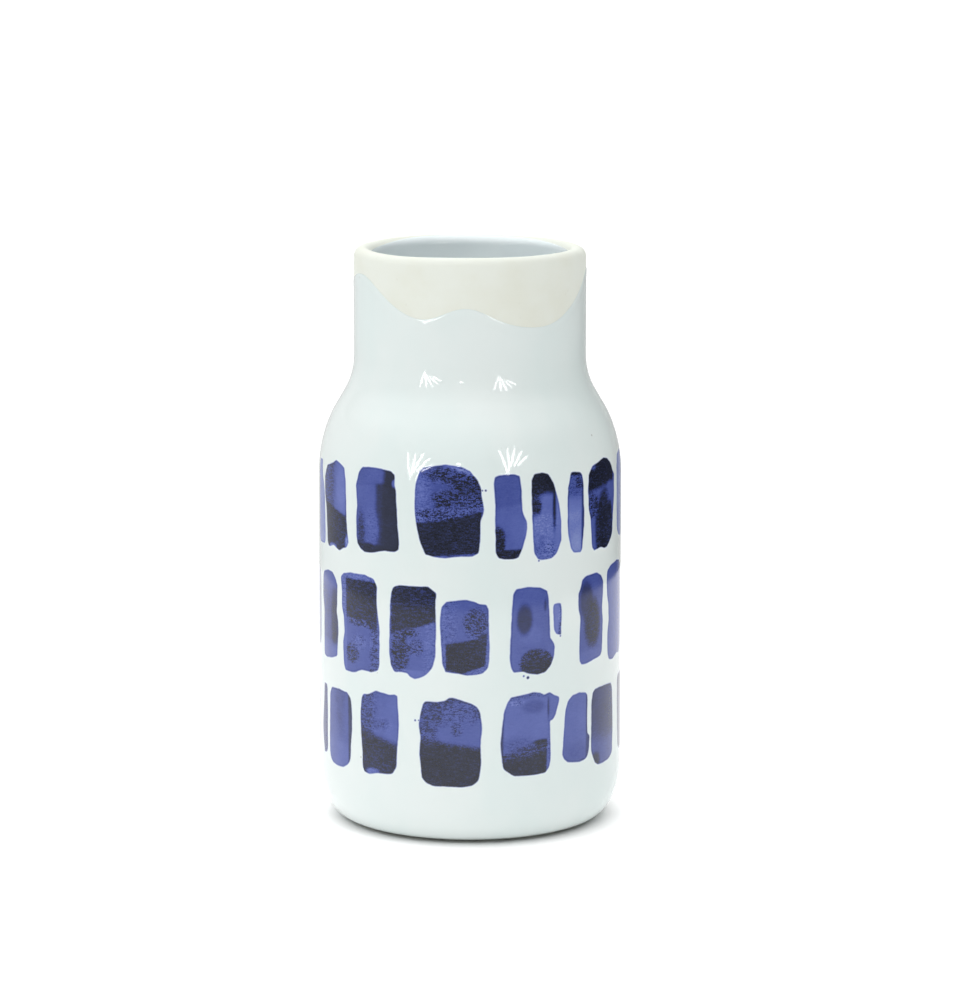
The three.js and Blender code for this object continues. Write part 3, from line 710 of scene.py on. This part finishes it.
def cobalt_group():
    """Brushed cobalt under a clear coat: soft edge, a darker pooled rim, dry-brush grain and a pale halo."""
    tree, given, out = group(
        "cobalt_wash",
        [("Place", "NodeSocketVector", (0, 0, 0)), ("Ground", "NodeSocketColor", (0.8, 0.8, 0.8, 1)),
         ("Edge", "NodeSocketFloat", 0.0), ("Load", "NodeSocketFloat", 0.5),
         ("Grain", "NodeSocketFloat", 0.3)],
        [("Colour", "NodeSocketColor"), ("Cover", "NodeSocketFloat")])
    place = given.outputs["Place"]
    wander = maths(tree, "MULTIPLY", maths(tree, "SUBTRACT", noise(tree, place, 260, 2), 0.5), 0.5)
    edge = maths(tree, "ADD", given.outputs["Edge"], wander)
    cover = spread(tree, edge, -0.28, 0.34)
    rim = maths(tree, "MULTIPLY", spread(tree, edge, 0.0, 0.3), maths(tree, "SUBTRACT", 1.0,
                spread(tree, edge, 0.3, 1.1)))
    bleed = spread(tree, edge, -0.2, 0.6)
    speckle = noise(tree, place, 1500, 2, 0.6, (1, 1, 1.4))
    streaks = noise(tree, place, 620, 2, 0.6, (0.7, 0.7, 2.2))
    dry = maths(tree, "ADD", maths(tree, "MULTIPLY", speckle, 0.55), maths(tree, "MULTIPLY", streaks, 0.45))
    uneven = maths(tree, "MULTIPLY", maths(tree, "SUBTRACT", dry, 0.48), maths(tree, "MULTIPLY",
                   given.outputs["Grain"], 3.2))
    uneven = maths(tree, "MAXIMUM", uneven, -0.09)
    cloud = maths(tree, "MULTIPLY", maths(tree, "SUBTRACT", noise(tree, place, 110, 3), 0.5), 0.14)
    load = maths(tree, "ADD", given.outputs["Load"], maths(tree, "ADD", uneven, cloud))
    load = maths(tree, "ADD", load, maths(tree, "MULTIPLY", rim, 0.11))
    load = maths(tree, "MULTIPLY", load, maths(tree, "ADD", maths(tree, "MULTIPLY", bleed, 0.5), 0.5))
    ink = ramp(tree, load, INK_STOPS)
    halo = maths(tree, "MULTIPLY", spread(tree, edge, -1.0, -0.2), 0.35)
    ground = blend_colour(tree, halo, given.outputs["Ground"], HALO_COLOUR)
    tree.links.new(blend_colour(tree, cover, ground, ink), out.inputs["Colour"])
    tree.links.new(cover, out.inputs["Cover"])
    return tree


def clay_group():
    """Fired clay: a fine sandy grain, faint turning lines and small iron specks."""
    tree, given, out = group(
        "fired_clay",
        [("Place", "NodeSocketVector", (0, 0, 0)), ("Colour", "NodeSocketColor", (0.7, 0.7, 0.7, 1)),
         ("Warm colour", "NodeSocketColor", (0.7, 0.65, 0.6, 1)), ("Specks", "NodeSocketFloat", 1.0)],
        [("Colour", "NodeSocketColor"), ("Roughness", "NodeSocketFloat"), ("Height", "NodeSocketFloat")])
    place = given.outputs["Place"]
    patches = spread(tree, noise(tree, place, 35, 4, 0.6), 0.35, 0.7)
    toned = blend_colour(tree, maths(tree, "MULTIPLY", patches, 0.6), given.outputs["Colour"],
                         given.outputs["Warm colour"])
    cells = add(tree, "ShaderNodeTexVoronoi")
    cells.inputs["Scale"].default_value = 260
    tree.links.new(place, cells.inputs["Vector"])
    rare = spread(tree, noise(tree, place, 90, 1), 0.56, 0.62)
    specks = maths(tree, "MULTIPLY", maths(tree, "LESS_THAN", cells.outputs["Distance"], 0.16), rare)
    share = maths(tree, "MULTIPLY", maths(tree, "MULTIPLY", specks, given.outputs["Specks"]), 0.04)
    tree.links.new(blend_colour(tree, share, toned, linear(140, 120, 98)), out.inputs["Colour"])
    sand = noise(tree, place, 1500, 3, 0.65)
    turning = noise(tree, place, 240, 2, 0.5, (0.08, 0.08, 4))
    rough = maths(tree, "MULTIPLY", sand, 0.6)
    lines = maths(tree, "MULTIPLY", turning, 0.6)
    tree.links.new(maths(tree, "ADD", rough, lines), out.inputs["Height"])
    tree.links.new(maths(tree, "ADD", maths(tree, "MULTIPLY", sand, 0.2), 0.66), out.inputs["Roughness"])
    return tree


GLAZE_COLOUR = linear(228, 236, 234)
GLAZE_POOLED = linear(218, 232, 230)
# Painted light: the lining is coloured lighter than the outer glaze, to offset the shade inside the mouth.
LINING_LIGHTENED_COLOUR = linear(238, 246, 247)
LINING_LIGHTENED_POOLED = linear(230, 240, 242)
CLAY_COLOUR = linear(230, 234, 225)
CLAY_WARM = linear(224, 226, 212)
GLASS_IOR = 1.5
GLAZE_WAVES = 0.06 * MM       # height of the gloss's slow waves
GLAZE_WAVE_SHARE = 0.25
HALO_COLOUR = linear(232, 240, 243)
INK_STOPS = [
    (0.0, GLAZE_COLOUR), (0.12, linear(194, 203, 221)), (0.25, linear(148, 161, 206)),
    (0.40, linear(106, 120, 186)), (0.55, linear(86, 100, 170)), (0.70, linear(64, 78, 148)),
    (0.80, linear(46, 56, 110)), (0.90, linear(35, 41, 66)), (1.0, linear(20, 24, 40)),
]


def new_material(name):
    material = bpy.data.materials.new(name)
    material.use_nodes = True
    tree = material.node_tree
    shader = next(n for n in tree.nodes if n.type == "BSDF_PRINCIPLED")
    place = add(tree, "ShaderNodeTexCoord").outputs["Object"]
    return material, tree, shader, place


def raise_surface(tree, shader, height, distance, strength=1.0):
    bump = add(tree, "ShaderNodeBump")
    bump.inputs["Strength"].default_value = strength
    bump.inputs["Distance"].default_value = distance
    tree.links.new(height, bump.inputs["Height"])
    tree.links.new(bump.outputs[0], shader.inputs["Normal"])


def use_group(tree, shared, place, **values):
    node = add(tree, "ShaderNodeGroup", node_tree=shared)
    tree.links.new(place, node.inputs["Place"])
    for name, value in values.items():
        node.inputs[name.replace("_", " ")].default_value = value
    return node


def glaze_material(name, unevenness, colour, pooled, drift, roughness):
    material, tree, shader, place = new_material(name)
    coat = use_group(tree, unevenness, place, Colour=colour, Pooled_colour=pooled, Drift=drift, Pinholes=1.0)
    tree.links.new(coat.outputs["Colour"], shader.inputs["Base Color"])
    shader.inputs["Roughness"].default_value = roughness
    shader.inputs["IOR"].default_value = GLASS_IOR
    raise_surface(tree, shader, coat.outputs["Height"], GLAZE_WAVES, GLAZE_WAVE_SHARE)
    return material


def cobalt_material(name, unevenness, wash, roughness):
    material, tree, shader, place = new_material(name)
    coat = use_group(tree, unevenness, place, Colour=GLAZE_COLOUR, Pooled_colour=GLAZE_POOLED, Drift=0.5,
                     Pinholes=0.0)
    ink = use_group(tree, wash, place)
    tree.links.new(coat.outputs["Colour"], ink.inputs["Ground"])
    for attribute, socket in (("edge", "Edge"), ("load", "Load"), ("grain", "Grain")):
        stored = add(tree, "ShaderNodeAttribute", attribute_name=attribute)
        tree.links.new(stored.outputs["Fac"], ink.inputs[socket])
    tree.links.new(ink.outputs["Colour"], shader.inputs["Base Color"])
    shader.inputs["Roughness"].default_value = roughness
    shader.inputs["IOR"].default_value = GLASS_IOR
    raise_surface(tree, shader, coat.outputs["Height"], GLAZE_WAVES, GLAZE_WAVE_SHARE)
    return material


def clay_material(name, clay):
    material, tree, shader, place = new_material(name)
    body = use_group(tree, clay, place, Colour=CLAY_COLOUR, Warm_colour=CLAY_WARM, Specks=1.0)
    tree.links.new(body.outputs["Colour"], shader.inputs["Base Color"])
    tree.links.new(body.outputs["Roughness"], shader.inputs["Roughness"])
    raise_surface(tree, shader, body.outputs["Height"], 0.08 * MM, 0.6)
    return material


def dress(piece, material, slot, *nodes):
    piece.data.materials.clear()
    piece.data.materials.append(material)
    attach(piece, ROOT)
    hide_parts(*nodes)


unevenness = glaze_group()
wash = cobalt_group()
stoneware = clay_material("fired_stoneware", clay_group())
white_glaze = glaze_material("white_gloss_glaze", unevenness, GLAZE_COLOUR, GLAZE_POOLED, 0.5, 0.06)
# The lining's colours are lightened, painting in light against the shade inside the mouth.
lining_glaze = glaze_material("lining_glaze_lightened", unevenness, LINING_LIGHTENED_COLOUR, LINING_LIGHTENED_POOLED, 0.6, 0.08)
cobalt = cobalt_material("brushed_cobalt", unevenness, wash, 0.06)

dress(make_clay(), stoneware, "stoneware", "clay_body")
dress(make_outer_glaze(), white_glaze, "white_glaze", "outer_glaze")
dress(make_lining(), lining_glaze, "lining_glaze", "inner_glaze")
for node, (start_load, touches) in STROKES.items():
    dress(make_stroke(node, start_load, touches), cobalt, "cobalt", node)
splashes = make_splashes()
splashes.data.materials.append(cobalt)
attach(splashes, ROOT)
for node, source, flipped in REPEATS:
    start_load, touches = STROKES[source]
    loop = outer_loop(source)
    centre = (loop[:, 0].min() + loop[:, 0].max()) / 2
    dress(make_stroke(node, start_load, touches, centre, flipped), cobalt, "cobalt", node)


# ---- the room: pale floor, soft light ------------------------------------------------------------
# Painted light: the floor glows, twice as strongly near the vase to light its base from below, and not at all
# in a ring round the base, which paints a dark shadow line under it over the real shade.
FLOOR_GLOW = 0.19             # the pale floor's own light, doubled near the vase
FLOOR_LIGHT_POOL = (0.10, 0.45)     # where that doubling fades, from the vase's axis
FLOOR_SHADOW = (0.049, 0.069)  # where the dark line under the base fades


def studio_floor():
    material, tree, shader, place = new_material("studio_floor")
    shader.inputs["Base Color"].default_value = (0.8, 0.8, 0.8, 1)
    shader.inputs["Roughness"].default_value = 1.0
    shader.inputs["Specular IOR Level"].default_value = 0.0
    shader.inputs["Emission Color"].default_value = (1, 1, 1, 1)
    reach = add(tree, "ShaderNodeVectorMath", operation="LENGTH")
    tree.links.new(place, reach.inputs[0])
    # Painted light in a pool near the vase, and a painted shadow ring under its base where the glow is left
    # out.
    near = maths(tree, "SUBTRACT", 1.0, spread(tree, reach.outputs["Value"], *FLOOR_LIGHT_POOL))
    clear = spread(tree, reach.outputs["Value"], *FLOOR_SHADOW)
    level = maths(tree, "ADD", maths(tree, "MULTIPLY", near, FLOOR_GLOW), FLOOR_GLOW)
    tree.links.new(maths(tree, "MULTIPLY", clear, level), shader.inputs["Emission Strength"])
    deselect()
    bpy.ops.mesh.primitive_plane_add(size=60, location=(0, 0, 0))
    floor = bpy.context.object
    floor.name = "studio_floor"
    floor.data.materials.append(material)


TARGET = (0.0, 0.0, 0.12)     # the lights look at this point
SKY_LEVEL = 0.02              # light from the horizon
SKY_OVERHEAD = 1.80           # light from straight above
SKY_RIGHT = -0.62             # less light comes from the right
WALL_DISTANCE = 0.55          # the unlit room beyond the table
WALL_TOP = 0.30
RIBS = 5                      # of an umbrella light
RIB_STEP = 3.6                # degrees from one rib to the next
RIB_DISTANCE = 0.5
RIB_WIDTH = 0.011
ROOM_GLOW = [(-180, 0.6), (-150, 0.7), (-60, 0.6), (-30, 0.32), (45, 0.26), (75, 0.08), (142, 0.04),
             (155, 0.4), (180, 0.6)]      # azimuth and level


def aimed_light(name, azimuth, elevation, distance, size, radiance, turn=0.0, glossy=True, diffuse=True,
                shape="RECTANGLE"):
    """An area light at an azimuth from the front, right positive, that looks at the vase."""
    a, e = math.radians(azimuth), math.radians(elevation)
    way = np.array([math.sin(a) * math.cos(e), -math.cos(a) * math.cos(e), math.sin(e)])
    bpy.ops.object.light_add(type="AREA", location=tuple(np.array(TARGET) + distance * way))
    lamp = bpy.context.object
    lamp.name = name
    lamp.rotation_mode = "XYZ"
    lamp.rotation_euler = (math.pi / 2 - e, 0, a)
    if turn:
        lamp.rotation_mode = "QUATERNION"
        from_axis = lamp.rotation_euler.to_quaternion()
        lamp.rotation_quaternion = from_axis @ Quaternion((0, 0, 1), math.radians(turn))
    light = lamp.data
    light.shape = shape
    light.size, light.size_y = size
    share = math.pi / 4 if shape == "ELLIPSE" else 1.0
    light.energy = radiance * math.pi * size[0] * size[1] * share
    lamp.visible_glossy = glossy
    lamp.visible_diffuse = diffuse
    lamp.visible_camera = False
    return lamp


def umbrella(name, azimuth, elevation, lean, radiance):
    """A ribbed umbrella light, seen in the glaze as a fan of feather-like petals."""
    middle = RIBS // 2
    for rib in range(RIBS):
        side = rib - middle
        size = (RIB_WIDTH, 0.18 - 0.02 * rib)
        rise = 1.6 * (middle - abs(side))
        aimed_light(f"{name}_rib_{rib + 1}", azimuth + side * RIB_STEP, elevation + rise, RIB_DISTANCE, size,
                    radiance, turn=-(side * 17 + lean), shape="ELLIPSE", diffuse=False)


def room_wall():
    """The unlit room round the table, darkest to the right. Only the gloss sees it."""
    deselect()
    bpy.ops.mesh.primitive_plane_add(size=1)
    wall = bpy.context.object
    wall.name = "room_wall"
    bpy.ops.object.mode_set(mode="EDIT")
    bpy.ops.mesh.select_mode(type="VERT")
    bpy.ops.mesh.select_all(action="SELECT")
    bpy.ops.mesh.merge(type="CENTER")
    bpy.ops.transform.translate(value=(0, -WALL_DISTANCE, 0.002))
    bpy.ops.mesh.extrude_region_move(TRANSFORM_OT_translate={"value": (0, 0, WALL_TOP)})
    bpy.ops.mesh.select_all(action="SELECT")
    bpy.ops.mesh.spin(steps=180, angle=2 * math.pi, center=(0, 0, 0), axis=(0, 0, 1))
    bpy.ops.mesh.select_all(action="SELECT")
    bpy.ops.mesh.remove_doubles(threshold=0.1 * MM)
    bpy.ops.object.mode_set(mode="OBJECT")
    azimuth = np.degrees(angle_from_front(places(wall)))
    glow = np.interp(azimuth, *zip(*ROOM_GLOW))
    wall.data.attributes.new("glow", "FLOAT", "POINT").data.foreach_set("value", glow.astype(np.float32))
    material, tree, shader, place = new_material("unlit_room")
    shader.inputs["Base Color"].default_value = (0, 0, 0, 1)
    shader.inputs["Specular IOR Level"].default_value = 0.0
    shader.inputs["Emission Color"].default_value = (1, 1, 1, 1)
    stored = add(tree, "ShaderNodeAttribute", attribute_name="glow")
    tree.links.new(stored.outputs["Fac"], shader.inputs["Emission Strength"])
    wall.data.materials.append(material)
    for sees in ("camera", "diffuse", "shadow", "transmission", "volume_scatter"):
        setattr(wall, "visible_" + sees, False)


studio_floor()
room_wall()
world = bpy.data.worlds.new("studio_air")
world.use_nodes = True
sky = world.node_tree
way = add(sky, "ShaderNodeSeparateXYZ")
sky.links.new(add(sky, "ShaderNodeTexCoord").outputs["Generated"], way.inputs[0])
overhead = maths(sky, "MULTIPLY", spread(sky, way.outputs["Z"], 0.0, 0.9), SKY_OVERHEAD - SKY_LEVEL)
sideways = maths(sky, "MULTIPLY", spread(sky, way.outputs["X"], 0.0, 0.9), SKY_RIGHT)
level = maths(sky, "ADD", maths(sky, "ADD", overhead, sideways), SKY_LEVEL)
sky.links.new(maths(sky, "MAXIMUM", level, 0.0), sky.nodes["Background"].inputs["Strength"])
sky.nodes["Background"].inputs["Color"].default_value = (1, 1, 1, 1)
bpy.context.scene.world = world
world.cycles.sampling_method = "NONE"    # so that the gloss sees the room's wall and not the sky behind it
aimed_light("key_softbox", -60, 35, 2.2, (1.2, 1.2), 0.25, glossy=False)
umbrella("left_umbrella", -38, 13.4, 20, 20)
umbrella("right_umbrella", 32, 18, 20, 18)
aimed_light("spark", -8, 17.5, 0.5, (0.016, 0.016), 45, shape="ELLIPSE", diffuse=False)

# ---- camera --------------------------------------------------------------------------------------
bpy.ops.object.camera_add(location=(0, -1.6639, 0.4235), rotation=(math.radians(80.0496), 0, 0))
camera = bpy.context.object
camera.data.lens = 147.79
camera.data.sensor_width = 36
camera.data.shift_x = 0.0115
camera.data.clip_end = 200
bpy.context.scene.camera = camera
bpy.context.scene.view_settings.view_transform = "Standard"
